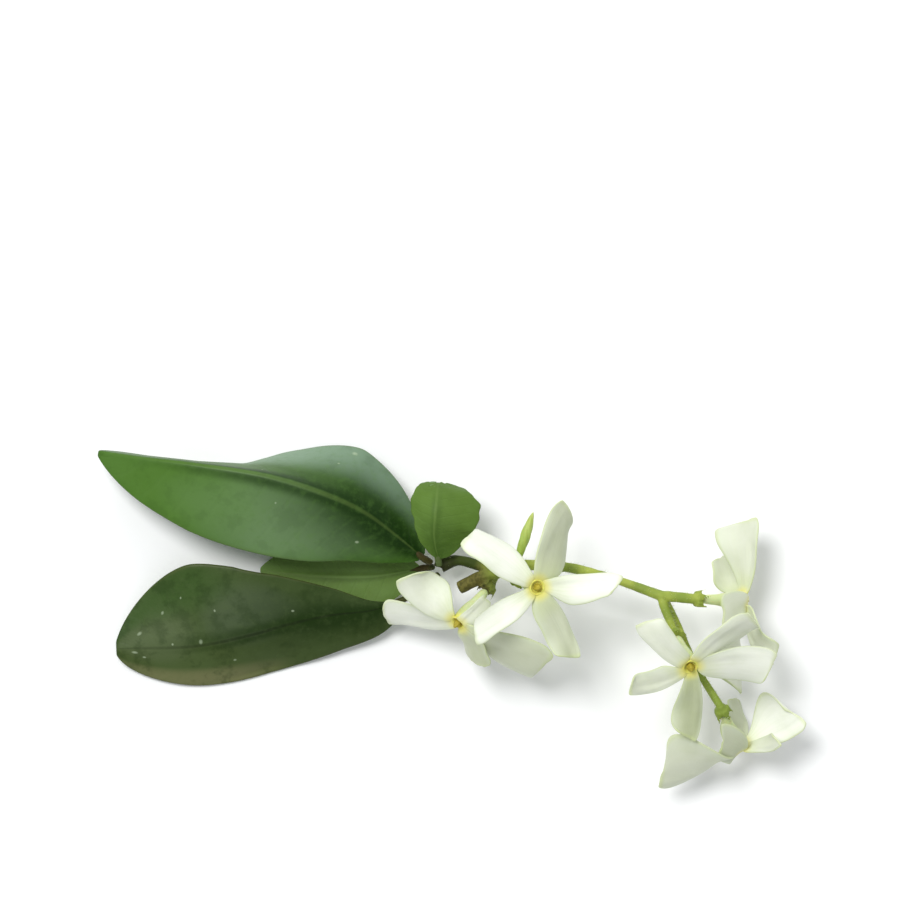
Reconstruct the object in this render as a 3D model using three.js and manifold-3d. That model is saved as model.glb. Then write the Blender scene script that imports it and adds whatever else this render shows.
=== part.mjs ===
// A cut sprig of star jasmine, lying on a flat surface. Millimetres, +Z up, lowest point at z = 0.
// The leaves reach to -X, the flower cluster to +X. Each leaf, corolla, anther cone and the bud is
// a piece of its own, and the green stalks and calyxes are one piece with the twig.

import * as THREE from 'three';
import { mergeVertices } from 'three/addons/utils/BufferGeometryUtils.js';
import Module from 'manifold-3d';

const wasm = await Module();
wasm.setup();

// Driving dimensions.
const CLEARANCE = 0.3; // between neighbouring pieces
const BLADE_THICKNESS = 0.65; // leaves, petals and sepals
const TWIG_RADIUS = 1.05;
const STALK_RADIUS = 0.8;
const PEDICEL_RADIUS = 0.6;
const COROLLA_LENGTH = 8; // base of the tube to its rim
const COROLLA_RADIUS = 1.2; // where the tube is widest
const RIM_RADIUS = 1.7;
const MOUTH_RADIUS = 0.95;
const MOUTH_DEPTH = 1.4;
const ANTHER_RADIUS = 0.6;
const ANTHER_LENGTH = 1.7;
const CALYX_RADIUS = 1.15;
const CALYX_HEIGHT = 1.1;
const SEPALS = 5;
const SEPAL_LENGTH = 1.7;
const SEPAL_WIDTH = 1.1;
const PETAL_START = 1.22; // from the flower's axis to a petal's root
const PETAL_SEAT = 0.3; // depth of a petal's root below the rim
const PETAL_SHOULDER = 4.8; // widest reach of a petal's bulging edge
const PETAL_STRAIGHT = 2.1; // widest reach of its straight edge
const ROOT_SHOULDER = 1; // reach of the bulging edge at the petal's root
const ROOT_STRAIGHT = 0.9; // reach of the straight edge there
const PETAL_CURL = 0.07; // how far its edges roll back, per mm from its middle line squared
const PETAL_OPEN = 0.7; // share of the petal's length where its straight edge is fully out
const PETAL_RIPPLE = 0.35; // height of the waves in its edges at the tip
const TIP_CUT = 0.11; // share of the length by which its tip is cut back towards the bulging edge
const TIP_ROUNDING = 0.05; // share by which both corners of the tip are drawn in
const LEAF_WAVE = 0.25; // height of the waves in a leaf's edges
const BUD_LENGTH = 8;
const BUD_RADIUS = 0.85;

const point = (x, y, z) => new THREE.Vector3(x, y, z);

// ---------- solids ----------

function toSolid(geometry) {
  const bare = geometry.clone();
  bare.deleteAttribute('normal');
  bare.deleteAttribute('uv');
  const merged = mergeVertices(bare, 1e-4);
  const corners = merged.index.array;
  const kept = [];
  for (let i = 0; i < corners.length; i += 3) {
    const [a, b, c] = corners.slice(i, i + 3);
    if (a !== b && b !== c && c !== a) kept.push(a, b, c);
  }
  return new wasm.Manifold(new wasm.Mesh({
    numProp: 3,
    vertProperties: new Float32Array(merged.attributes.position.array),
    triVerts: new Uint32Array(kept),
  }));
}

function join(geometries) {
  return geometries.map(toSolid).reduce((whole, piece) => whole.add(piece));
}

function namedMesh(name, solid, material) {
  const { vertProperties, triVerts } = solid.getMesh();
  const geometry = new THREE.BufferGeometry();
  geometry.setAttribute('position', new THREE.BufferAttribute(new Float32Array(vertProperties), 3));
  geometry.setIndex(new THREE.BufferAttribute(new Uint32Array(triVerts), 1));
  geometry.computeVertexNormals();
  const mesh = new THREE.Mesh(geometry, material);
  mesh.name = name;
  return mesh;
}

// A closed mesh from rings of equal length, with a fan over the first and the last ring.
function ringGeometry(rings) {
  const count = rings[0].length;
  const corners = rings.flat();
  const first = corners.length;
  corners.push(middleOf(rings[0]), middleOf(rings[rings.length - 1]));
  const faces = [];
  for (let i = 0; i + 1 < rings.length; i += 1) {
    for (let j = 0; j < count; j += 1) {
      const next = (j + 1) % count;
      const a = i * count + j;
      const b = i * count + next;
      faces.push(a, b, a + count, b, b + count, a + count);
    }
  }
  const last = (rings.length - 1) * count;
  for (let j = 0; j < count; j += 1) {
    const next = (j + 1) % count;
    faces.push(first, next, j);
    faces.push(first + 1, last + j, last + next);
  }
  return indexedGeometry(corners, faces);
}

function middleOf(ring) {
  const sum = ring.reduce((total, corner) => total.add(corner), point(0, 0, 0));
  return sum.divideScalar(ring.length);
}

function indexedGeometry(corners, faces) {
  const geometry = new THREE.BufferGeometry();
  const flat = corners.flatMap((corner) => corner.toArray());
  geometry.setAttribute('position', new THREE.Float32BufferAttribute(flat, 3));
  geometry.setIndex(faces);
  return geometry;
}

// The value at t from 0 to 1 in a list of values that are spread evenly.
function alongList(values, t) {
  const place = t * (values.length - 1);
  const before = Math.min(Math.floor(place), values.length - 2);
  return THREE.MathUtils.lerp(values[before], values[before + 1], place - before);
}

// A round stalk along a smooth curve. radii are spread evenly from its start to its end.
function stalkGeometry(points, radii, steps = 8, sides = 6) {
  const curve = new THREE.CatmullRomCurve3(points);
  const frames = curve.computeFrenetFrames(steps, false);
  const rings = [];
  for (let i = 0; i <= steps; i += 1) {
    const middle = curve.getPointAt(i / steps);
    const radius = alongList(radii, i / steps);
    const ring = [];
    for (let j = 0; j < sides; j += 1) {
      const angle = 2 * Math.PI * j / sides;
      ring.push(middle.clone()
        .addScaledVector(frames.normals[i], radius * Math.cos(angle))
        .addScaledVector(frames.binormals[i], radius * Math.sin(angle)));
    }
    rings.push(ring);
  }
  return ringGeometry(rings);
}

// A blade of even thickness round a surface(t, s): t runs from root to tip, s from edge to edge
// as -1 to 1. Both faces are split into triangles alike.
function bladeGeometry(surface, steps, across) {
  const front = [];
  const back = [];
  const reach = 0.02;
  for (let i = 0; i <= steps; i += 1) {
    for (let j = 0; j <= across; j += 1) {
      const t = i / steps;
      const s = 2 * j / across - 1;
      const here = surface(t, s);
      const along = surface(Math.min(t + reach, 1), s).sub(surface(Math.max(t - reach, 0), s));
      const side = surface(t, s + reach).sub(surface(t, s - reach));
      const normal = along.cross(side).normalize();
      front.push(here.clone().addScaledVector(normal, BLADE_THICKNESS / 2));
      back.push(here.addScaledVector(normal, -BLADE_THICKNESS / 2));
    }
  }
  const row = across + 1;
  const half = front.length;
  const faces = [];
  const quad = (a, b, c, d) => faces.push(a, b, c, a, c, d);
  for (let i = 0; i < steps; i += 1) {
    for (let j = 0; j < across; j += 1) {
      const a = i * row + j;
      quad(a, a + row, a + row + 1, a + 1);
      faces.push(half + a, half + a + row + 1, half + a + row);
      faces.push(half + a, half + a + 1, half + a + row + 1);
    }
  }
  for (let i = 0; i < steps; i += 1) {
    const a = i * row;
    quad(a, half + a, half + a + row, a + row);
    const b = a + across;
    quad(b, b + row, half + b + row, half + b);
  }
  for (let j = 0; j < across; j += 1) {
    quad(j, j + 1, half + j + 1, half + j);
    const b = steps * row + j;
    quad(b, half + b, half + b + 1, b + 1);
  }
  return indexedGeometry([...front, ...back], faces);
}

// ---------- stalks and calyxes ----------

// Turns a piece built up its own +Z axis to stand at base and point along axis.
function placing(base, axis) {
  const sideways = point(-axis.y, axis.x, 0).normalize();
  const upward = axis.clone().cross(sideways);
  const turned = new THREE.Matrix4().makeBasis(sideways, upward, axis);
  return turned.setPosition(base);
}

function latheUp(profile, sides) {
  const outline = profile.map(([radius, height]) => new THREE.Vector2(radius, height));
  return new THREE.LatheGeometry(outline, sides).rotateX(Math.PI / 2);
}

function sepalSurface(t, s) {
  const width = SEPAL_WIDTH / 2 * Math.sqrt(Math.max(1 - t * t, 0.06));
  const out = CALYX_RADIUS + 0.05 + 0.25 * t + 0.15 * t * t;
  const up = -0.55 + SEPAL_LENGTH * t;
  return point(out, width * s, up);
}

// The calyx stands with its top CLEARANCE below the corolla's base.
function calyxGeometries(base, axis) {
  const top = base.clone().addScaledVector(axis, -CLEARANCE);
  const place = placing(top, axis);
  const cup = latheUp([
    [0, -CALYX_HEIGHT - 0.6],
    [PEDICEL_RADIUS, -CALYX_HEIGHT - 0.6],
    [CALYX_RADIUS * 0.8, -CALYX_HEIGHT],
    [CALYX_RADIUS, -0.4],
    [CALYX_RADIUS * 0.9, 0],
    [0, 0],
  ], 8);
  const pieces = [cup];
  for (let i = 0; i < SEPALS; i += 1) {
    const sepal = bladeGeometry(sepalSurface, 2, 2);
    sepal.rotateZ(2 * Math.PI * i / SEPALS);
    pieces.push(sepal);
  }
  return pieces.map((piece) => piece.applyMatrix4(place));
}

// ---------- corollas ----------

// A petal in its flower's frame: +X out from the throat, +Y to the left seen from the front and
// +Z forward. Its left edge is nearly straight and its tip is cut oblique. Its right edge bulges:
// it is widest at the share peak of the length and draws in by the share taper at the tip, and a
// larger grow keeps it narrow for longer. The tip lies drop forward of the root and bend to the
// left, and pitch is the turn of the blade about its own length.
function petalSurface({ reach, drop, pitch, bend = 0, wide = 1, peak = 0.6, taper = 0.35, grow = 1 }) {
  return (t, s) => {
    const swell = Math.sin(Math.PI / 2 * Math.min(t / peak, 1)) ** grow;
    const narrowing = 1 - taper * Math.max(0, (t - peak) / (1.001 - peak)) ** 2;
    const shoulder = ROOT_SHOULDER + (PETAL_SHOULDER * wide - ROOT_SHOULDER) * swell * narrowing;
    const opening = Math.sin(Math.PI / 2 * Math.min(t / PETAL_OPEN, 1));
    const straight = ROOT_STRAIGHT + (PETAL_STRAIGHT * wide - ROOT_STRAIGHT) * opening;
    const q = s < 0 ? s * shoulder : s * straight;
    const place = t * (1 - TIP_CUT * (1 - s) * t - TIP_ROUNDING * s * s * t);
    const twist = pitch * Math.sin(Math.PI / 2 * Math.min(1.25 * t, 1));
    const ripple = PETAL_RIPPLE * t * s * Math.sin(9 * t + 1.5 * s + bend);
    const curl = -PETAL_CURL * q * q + ripple;
    const x = PETAL_START + (reach - PETAL_START) * place;
    const y = bend * t * t + q * Math.cos(twist) - curl * Math.sin(twist);
    const z = -PETAL_SEAT + drop * t * t + q * Math.sin(twist) + curl * Math.cos(twist);
    return point(x, y, z);
  };
}

function corollaSolid({ throat, axis, petals }) {
  const base = throat.clone().addScaledVector(axis, -COROLLA_LENGTH);
  const tube = latheUp([
    [0, 0],
    [0.62, 0],
    [0.7, 2.6],
    [COROLLA_RADIUS * 0.92, 4.4],
    [COROLLA_RADIUS, 5.6],
    [COROLLA_RADIUS, 6.8],
    [RIM_RADIUS, COROLLA_LENGTH - 0.6],
    [RIM_RADIUS, COROLLA_LENGTH],
    [MOUTH_RADIUS, COROLLA_LENGTH - 0.1],
    [MOUTH_RADIUS - 0.05, COROLLA_LENGTH - MOUTH_DEPTH],
    [0, COROLLA_LENGTH - MOUTH_DEPTH],
  ], 12);
  tube.applyMatrix4(placing(base, axis));
  const atThroat = placing(throat, axis);
  const pieces = petals.map((petal) => bladeGeometry(petalSurface(petal), 6, 4)
    .rotateZ(THREE.MathUtils.degToRad(petal.turn))
    .applyMatrix4(atThroat));
  return join([tube, ...pieces]);
}

function antherSolid({ throat, axis }) {
  const bottom = throat.clone().addScaledVector(axis, CLEARANCE - MOUTH_DEPTH);
  const cone = latheUp([
    [0, 0],
    [ANTHER_RADIUS * 0.85, 0],
    [ANTHER_RADIUS, ANTHER_LENGTH * 0.35],
    [ANTHER_RADIUS * 0.6, ANTHER_LENGTH * 0.75],
    [0, ANTHER_LENGTH],
  ], 10);
  return toSolid(cone.applyMatrix4(placing(bottom, axis)));
}

// ---------- leaves ----------

// rib holds points from the petiole to the tip. lower and upper are the two halves: wide is the
// half's width, fold its angles from level, in degrees, spread evenly from root to tip, and arch
// the height of its bulge. A larger belly moves the widest place towards the tip, and a smaller
// sharpness makes both ends blunter.
function leafSurface({ rib, lower, upper }) {
  const curve = new THREE.CatmullRomCurve3(rib);
  const foldAt = (fold, t) => THREE.MathUtils.degToRad(alongList(fold, t));
  return (t, s) => {
    const half = s < 0 ? lower : upper;
    const middle = curve.getPointAt(t);
    const ahead = curve.getTangentAt(t);
    const level = point(-ahead.y, ahead.x, 0).normalize();
    const { belly = 1, sharpness = 0.75 } = half;
    const outline = Math.sin(Math.PI * (0.006 + 0.99 * t) ** belly) ** sharpness;
    const q = Math.abs(s) * half.wide * outline;
    const fold = foldAt(half.fold, t);
    const arch = (half.arch ?? 0) * (q / half.wide) ** 2;
    const wave = LEAF_WAVE * s * s * Math.sin(14 * t + 3 * s) * outline;
    const sideways = q * Math.cos(fold) - arch * Math.sin(fold);
    middle.addScaledVector(level, s < 0 ? sideways : -sideways);
    middle.z += q * Math.sin(fold) + arch * Math.cos(fold) + wave;
    return middle;
  };
}

function leafSolid(leaf, steps = 13, across = 6) {
  const blade = bladeGeometry(leafSurface(leaf), steps, across);
  const inBlade = leaf.rib[0].clone().lerp(leaf.rib[1], 0.4);
  const petiole = stalkGeometry([...leaf.petiole, leaf.rib[0], inBlade], [0.65, 0.7, 0.6, 0.45], 6);
  return join([blade, petiole]);
}

// ---------- the sprig ----------

const axisOf = (x, y, z) => point(x, y, z).normalize();

const flowers = {
  centre: {
    throat: point(13.5, 4.6, 21.3),
    axis: axisOf(3, -1.2, 7.3),
    petals: [
      {
        turn: 74, reach: 14, drop: -4.9, pitch: 0.82,
        bend: 0.1, wide: 1.47, peak: 0.76, taper: 0.26, grow: 1.8,
      },
      {
        turn: 10, reach: 14.5, drop: -4.3, pitch: 0.43,
        bend: -3.9, wide: 1.13, peak: 0.31, taper: 0.6, grow: 0.68,
      },
      {
        turn: 300, reach: 14, drop: 3.3, pitch: -0.79,
        bend: -0.8, wide: 0.72, peak: 0.36, taper: 0.6, grow: 1.46,
      },
      {
        turn: 242, reach: 13.4, drop: 1.5, pitch: -0.29,
        bend: -2.8, wide: 0.69, peak: 0.3, taper: 0.35, grow: 0.42,
      },
      {
        turn: 153, reach: 13.2, drop: -3.9, pitch: 1.13,
        bend: 0.3, wide: 0.9, peak: 0.85, taper: 0.13, grow: 1.39,
      },
    ],
  },
  lower: {
    throat: point(0.7, -1.3, 13.2),
    axis: axisOf(-0.6, -0.68, 0.5),
    petals: [
      {
        turn: 245, reach: 13.9, drop: 2.6, pitch: -0.34,
        bend: -3.8, wide: 0.89, peak: 0.63, taper: 0.08, grow: 1.03,
      },
      {
        turn: 194, reach: 11.5, drop: 0.6, pitch: 1.45,
        bend: -4, wide: 1.01, peak: 0.74, taper: 0.44, grow: 0.7,
      },
      {
        turn: 23, reach: 16.3, drop: -3.6, pitch: -0.29,
        bend: -2.7, wide: 1.47, peak: 0.92, taper: 0, grow: 0.4,
      },
      {
        turn: 346, reach: 8.5, drop: 1.4, pitch: 0.01,
        bend: -0.5, wide: 1.09, peak: 0.62, taper: 0, grow: 0.81,
      },
      {
        turn: 80, reach: 4.4, drop: -4.6, pitch: 0.1,
        wide: 0.42,
      },
    ],
  },
  right: {
    throat: point(37.2, -8, 19.4),
    axis: axisOf(0.257, -0.59, 0.77),
    petals: [
      {
        turn: 123, reach: 11.5, drop: -3.3, pitch: -0.2,
        bend: -1.7, wide: 0.64, peak: 1, taper: 0.42, grow: 0.41,
      },
      {
        turn: 36, reach: 12.4, drop: -1.6, pitch: 0.22,
        bend: -4.9, wide: 1.1, peak: 1, taper: 0.52, grow: 1.31,
      },
      {
        turn: 352, reach: 14.2, drop: 1.6, pitch: -0.27,
        bend: -2.6, wide: 0.95, peak: 0.64, taper: 0.25, grow: 0.4,
      },
      {
        turn: 262, reach: 12.9, drop: 2.6, pitch: 0.21,
        bend: -3, wide: 0.66, peak: 0.75, taper: 0.51, grow: 1.05,
      },
      {
        turn: 193, reach: 10.4, drop: 1.3, pitch: 0.28,
        bend: -4.3, wide: 0.56, peak: 0.31, taper: 0.58, grow: 1.39,
      },
    ],
  },
  top: {
    throat: point(46, 2.4, 7.9),
    axis: axisOf(0.865, -0.04, -0.5),
    petals: [
      {
        turn: 10, reach: 13.9, drop: 0.1, pitch: 0.16,
        bend: -2.2, wide: 1.24, peak: 1, taper: 0.25, grow: 0.9,
      },
      {
        turn: 319, reach: 10.7, drop: 0.4, pitch: 1.49,
        bend: -0.4, wide: 0.77, peak: 0.43, taper: 0, grow: 1.8,
      },
      {
        turn: 201, reach: 15, drop: 0.2, pitch: 1.04,
        bend: -4.6, wide: 1.11, peak: 0.7, taper: 0.08, grow: 0.48,
      },
      {
        turn: 162, reach: 11.3, drop: 2.4, pitch: 0.11,
        bend: -2.9, wide: 0.85, peak: 0.32, taper: 0.19, grow: 0.63,
      },
      {
        turn: 106, reach: 3, drop: -5, pitch: 0.15,
        bend: 2.6, wide: 0.81, peak: 0.89, taper: 0.04, grow: 1.72,
      },
    ],
  },
  bottom: {
    throat: point(45, -20.8, 6.3),
    axis: axisOf(0.32, -0.7, -0.64),
    petals: [
      {
        turn: 160, reach: 13.9, drop: -1.6, pitch: 1.28,
        bend: 4, wide: 1.46, peak: 0.59, taper: 0.49, grow: 1.37,
      },
      {
        turn: 293, reach: 9.9, drop: -2.2, pitch: 1.26,
        bend: -0.8, wide: 0.76, peak: 0.39, taper: 0.76, grow: 0.4,
      },
      {
        turn: 1, reach: 11.8, drop: -2.6, pitch: 0.69,
        bend: 1.7, wide: 1.2, peak: 0.66, taper: 0.75, grow: 1.74,
      },
      {
        turn: 38, reach: 9.6, drop: -3.1, pitch: 0.42,
        bend: 1.2, wide: 0.4, peak: 0.63, taper: 0.8, grow: 1.19,
      },
      {
        turn: 102, reach: 3.6, drop: -4.4, pitch: 1.11,
        bend: 1.7, wide: 1.18, peak: 0.64, taper: 0.8, grow: 1.52,
      },
    ],
  },
};

const calyxTop = ({ throat, axis }) => throat.clone().addScaledVector(axis, -COROLLA_LENGTH);
const calyxFoot = (base, axis) => base.clone().addScaledVector(axis, -CLEARANCE - CALYX_HEIGHT - 0.3);
const footOf = (flower) => calyxFoot(calyxTop(flower), flower.axis);

const fork = point(6.8, 6.8, 9);
const upperFork = point(32.8, 3.2, 10.8);
const leafNode = point(-1.6, 7.9, 6);
const budBase = point(10.3, 8.8, 11);
const budAxis = axisOf(0.31, 0.95, 0.12);

const leaves = {
  leaf_upper: {
    petiole: [point(-3.1, 8.3, 6.6)],
    rib: [
      point(-4.6, 9.2, 7.6), point(-7.9, 12, 9.2), point(-13.7, 16.3, 11.2), point(-20, 19.2, 12.4),
      point(-28.8, 22, 12.6), point(-40, 23.8, 11.2), point(-48, 24.7, 8.8), point(-55.3, 25.7, 5.6),
    ],
    lower: { wide: 12.9, fold: [-6, -12, -14, -12, -10], arch: -1 },
    upper: { wide: 13.6, fold: [-28, -36, -36, -62, -82, -86, -86, -84], arch: -1 },
  },
  leaf_lower: {
    petiole: [point(-1.9, 6.7, 5.8), point(-4.8, 3.8, 4.8)],
    rib: [
      point(-8, 2.4, 4.2), point(-12.4, 1, 4.4), point(-19, 0.2, 4.7), point(-25.2, -1.2, 4.8),
      point(-31.4, -3, 4.6), point(-40, -4.8, 3.8), point(-52.6, -5.2, 1.6),
    ],
    lower: { wide: 8.2, fold: [-20, -32, -18], arch: -0.8, sharpness: 0.5 },
    upper: { wide: 13, fold: [8, 6, -2], arch: 0.6, belly: 1.9, sharpness: 0.7 },
  },
  leaf_behind: {
    petiole: [point(-2.7, 7.7, 5.1)],
    rib: [point(-4.8, 7.4, 3.6), point(-12, 6.2, 2.2), point(-21, 6.2, 1.6), point(-30, 7.2, 0.9)],
    lower: { wide: 6, fold: [-6, -4, -3] },
    upper: { wide: 6.5, fold: [6, 4, 2] },
  },
  leaf_small: {
    petiole: [point(-1.9, 7.9, 8.15)],
    rib: [
      point(-2.1, 8.9, 8.6), point(-2.6, 11, 10.1), point(-2.8, 13.2, 11.3), point(-2.6, 15.6, 12.3),
      point(-2.4, 17.8, 12), point(-2.2, 19.8, 10.4), point(-2, 21, 7.8),
    ],
    lower: { wide: 4.3, fold: [-10, -24, -16], arch: -0.4, belly: 1.65, sharpness: 0.6 },
    upper: { wide: 7.3, fold: [-4, -12, -10], arch: -0.4, belly: 1.15, sharpness: 0.42 },
  },
};

function stemSolid() {
  const pieces = [];
  pieces.push(stalkGeometry([point(1.2, 4.4, 7.6), point(4, 5.8, 8.2), fork], [1.0, TWIG_RADIUS, 1.1], 6));
  pieces.push(stalkGeometry(
    [fork, point(4, 8, 7), point(0.8, 8.7, 6.2), leafNode], [0.9, 0.8, 0.8, 1.2], 10));
  pieces.push(stalkGeometry([leafNode, point(-1.5, 9.2, 6.4), point(-1.4, 10.6, 6.8)], [1.2, 0.8, 0.5], 5));
  pieces.push(stalkGeometry(
    [fork, point(11, 7.9, 9), point(17.7, 7.7, 9.4), point(25.4, 5.8, 10), upperFork],
    [1.05, 0.85, STALK_RADIUS, 0.65, 0.85], 12));
  const { centre, lower, right, top, bottom } = flowers;
  pieces.push(stalkGeometry([fork, point(8.4, 7, 9), footOf(centre)], [0.9, PEDICEL_RADIUS], 6));
  pieces.push(stalkGeometry([fork, point(6.6, 6, 8.6), footOf(lower)], [0.9, PEDICEL_RADIUS], 5));
  pieces.push(stalkGeometry([upperFork, point(33.2, 1.6, 11.2), footOf(right)], [0.8, PEDICEL_RADIUS], 6));
  pieces.push(stalkGeometry([upperFork, point(35.6, 3, 12), footOf(top)], [0.85, 0.8], 6));
  pieces.push(stalkGeometry(
    [upperFork, point(35, -1, 9.6), point(38, -7.6, 10), footOf(bottom)], [0.8, PEDICEL_RADIUS, 0.6], 12));
  const budFoot = calyxFoot(budBase, budAxis);
  pieces.push(stalkGeometry([point(8.4, 7.1, 8.7), point(9, 7.2, 8.9), budFoot], [0.7, 0.5], 4));
  for (const flower of Object.values(flowers)) {
    pieces.push(...calyxGeometries(calyxTop(flower), flower.axis));
  }
  pieces.push(...calyxGeometries(budBase, budAxis));
  return join(pieces);
}

function budSolid() {
  const profile = [[0, 0], [0.55, 0], [0.68, 0.2], [BUD_RADIUS, 0.5], [0.7, 0.72], [0.35, 0.93], [0, 1]];
  const body = latheUp(profile.map(([radius, share]) => [radius, share * BUD_LENGTH]), 10);
  return toSolid(body.applyMatrix4(placing(budBase, budAxis)));
}

// What lies below the surface is cut off, so that each piece that touches it has a small flat spot.
const below = toSolid(new THREE.BoxGeometry(300, 300, 40).translate(0, 0, -20));
const rested = (solid) => solid.subtract(below);

const material = (color, roughness) => new THREE.MeshStandardMaterial({ color, roughness, metalness: 0 });
const green = material(0x5f8f33, 0.5);
const darkGreen = material(0x2e5a26, 0.4);
const white = material(0xf1f4e8, 0.6);
const gold = material(0xc9a227, 0.6);
const stalkGreen = material(0x9bb04a, 0.55);

const sprig = new THREE.Group();
sprig.add(namedMesh('stem', rested(stemSolid()), stalkGreen));
for (const [name, leaf] of Object.entries(leaves)) {
  sprig.add(namedMesh(name, rested(leafSolid(leaf)), name === 'leaf_lower' ? darkGreen : green));
}
for (const [name, flower] of Object.entries(flowers)) {
  sprig.add(namedMesh(`flower_${name}`, rested(corollaSolid(flower)), white));
  sprig.add(namedMesh(`anthers_${name}`, antherSolid(flower), gold));
}
sprig.add(namedMesh('bud', budSolid(), stalkGreen));

const box = new THREE.Box3().setFromObject(sprig);
sprig.position.set(-(box.min.x + box.max.x) / 2, -(box.min.y + box.max.y) / 2, 0);

export default sprig;
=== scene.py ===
import bisect
import math
import random

import bmesh
import bpy
from mathutils import Matrix, Vector, noise


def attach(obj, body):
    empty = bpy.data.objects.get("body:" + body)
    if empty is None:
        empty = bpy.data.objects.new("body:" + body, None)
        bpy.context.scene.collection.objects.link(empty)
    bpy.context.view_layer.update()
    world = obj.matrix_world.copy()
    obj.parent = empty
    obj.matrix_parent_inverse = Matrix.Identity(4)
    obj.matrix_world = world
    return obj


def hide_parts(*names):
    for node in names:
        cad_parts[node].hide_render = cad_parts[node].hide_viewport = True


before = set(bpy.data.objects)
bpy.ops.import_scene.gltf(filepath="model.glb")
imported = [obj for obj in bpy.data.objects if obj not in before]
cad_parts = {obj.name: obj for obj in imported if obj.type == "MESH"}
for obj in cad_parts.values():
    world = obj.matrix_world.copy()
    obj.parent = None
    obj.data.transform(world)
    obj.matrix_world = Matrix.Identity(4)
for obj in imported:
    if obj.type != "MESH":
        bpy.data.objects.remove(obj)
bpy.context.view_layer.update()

mm = 0.001
sprigShift = Vector((-0.1979, 0.3258, 0.0))  # mm, from the drawing's origin to the frame's
noise.seed_set(7)
print("frame loaded")


def spot(x, y, z):  # a place on the drawing, in metres in the frame
    return (Vector((x, y, z)) + sprigShift) * mm


def mix(a, b, share):
    return a + (b - a) * share


def clamped(value):  # kept from 0 to 1
    return min(max(value, 0.0), 1.0)


def eased(share):  # rises from 0 and levels out at 1
    return math.sin(math.pi / 2 * min(share, 1))


def alongList(values, t):  # the value at t in evenly spread values
    place = clamped(t) * (len(values) - 1)
    before = min(int(place), len(values) - 2)
    return mix(values[before], values[before + 1], place - before)


class SmoothPath:  # a smooth curve through points, read by the share of its length
    def __init__(self, points, divisions=200):
        self.points = [Vector(p) for p in points]
        self.marks = [self.raw(i / divisions) for i in range(divisions + 1)]
        self.lengths = [0.0]
        for a, b in zip(self.marks, self.marks[1:]):
            self.lengths.append(self.lengths[-1] + (b - a).length)

    def raw(self, t):
        p = self.points
        place = (len(p) - 1) * t
        i = min(int(place), len(p) - 2)
        before = p[i - 1] if i > 0 else p[0] * 2 - p[1]
        after = p[i + 2] if i + 2 < len(p) else p[-1] * 2 - p[-2]
        legs = ((before, p[i]), (p[i], p[i + 1]), (p[i + 1], after))
        span = [max((b - a).length, 1e-4) ** 0.5 for a, b in legs]
        leave = ((p[i] - before) / span[0] - (p[i + 1] - before) / (span[0] + span[1])
                 + (p[i + 1] - p[i]) / span[1]) * span[1]
        arrive = ((p[i + 1] - p[i]) / span[1] - (after - p[i]) / (span[1] + span[2])
                  + (after - p[i + 1]) / span[2]) * span[1]
        w = place - i
        c2 = (p[i + 1] - p[i]) * 3 - leave * 2 - arrive
        c3 = (p[i] - p[i + 1]) * 2 + leave + arrive
        return p[i] + leave * w + c2 * w * w + c3 * w ** 3

    def at(self, t):
        wanted = clamped(t) * self.lengths[-1]
        i = min(bisect.bisect_right(self.lengths, wanted) - 1, len(self.marks) - 2)
        step = self.lengths[i + 1] - self.lengths[i]
        return self.marks[i].lerp(self.marks[i + 1], (wanted - self.lengths[i]) / step)

    def ahead(self, t):
        return (self.at(t + 0.004) - self.at(t - 0.004)).normalized()


class Wire:  # an output socket that can stand in an expression
    def __init__(self, finish, socket):
        self.finish = finish
        self.socket = socket

    def worked(self, operation, first, second=0.0):
        return self.finish.add("ShaderNodeMath", {"operation": operation}, {0: first, 1: second})

    def __add__(self, other):
        return self.worked("ADD", self, other)

    def __radd__(self, other):
        return self.worked("ADD", other, self)

    def __sub__(self, other):
        return self.worked("SUBTRACT", self, other)

    def __rsub__(self, other):
        return self.worked("SUBTRACT", other, self)

    def __mul__(self, other):
        return self.worked("MULTIPLY", self, other)

    def __rmul__(self, other):
        return self.worked("MULTIPLY", other, self)

    def size(self):
        return self.worked("ABSOLUTE", self)

    def fraction(self):
        return self.worked("FRACT", self)

    def ramp(self, low, high):  # 0 below low, 1 above high, smooth between
        return self.finish.add("ShaderNodeMapRange", {"interpolation_type": "SMOOTHSTEP"},
                               {"Value": self, "From Min": low, "From Max": high})


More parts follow.
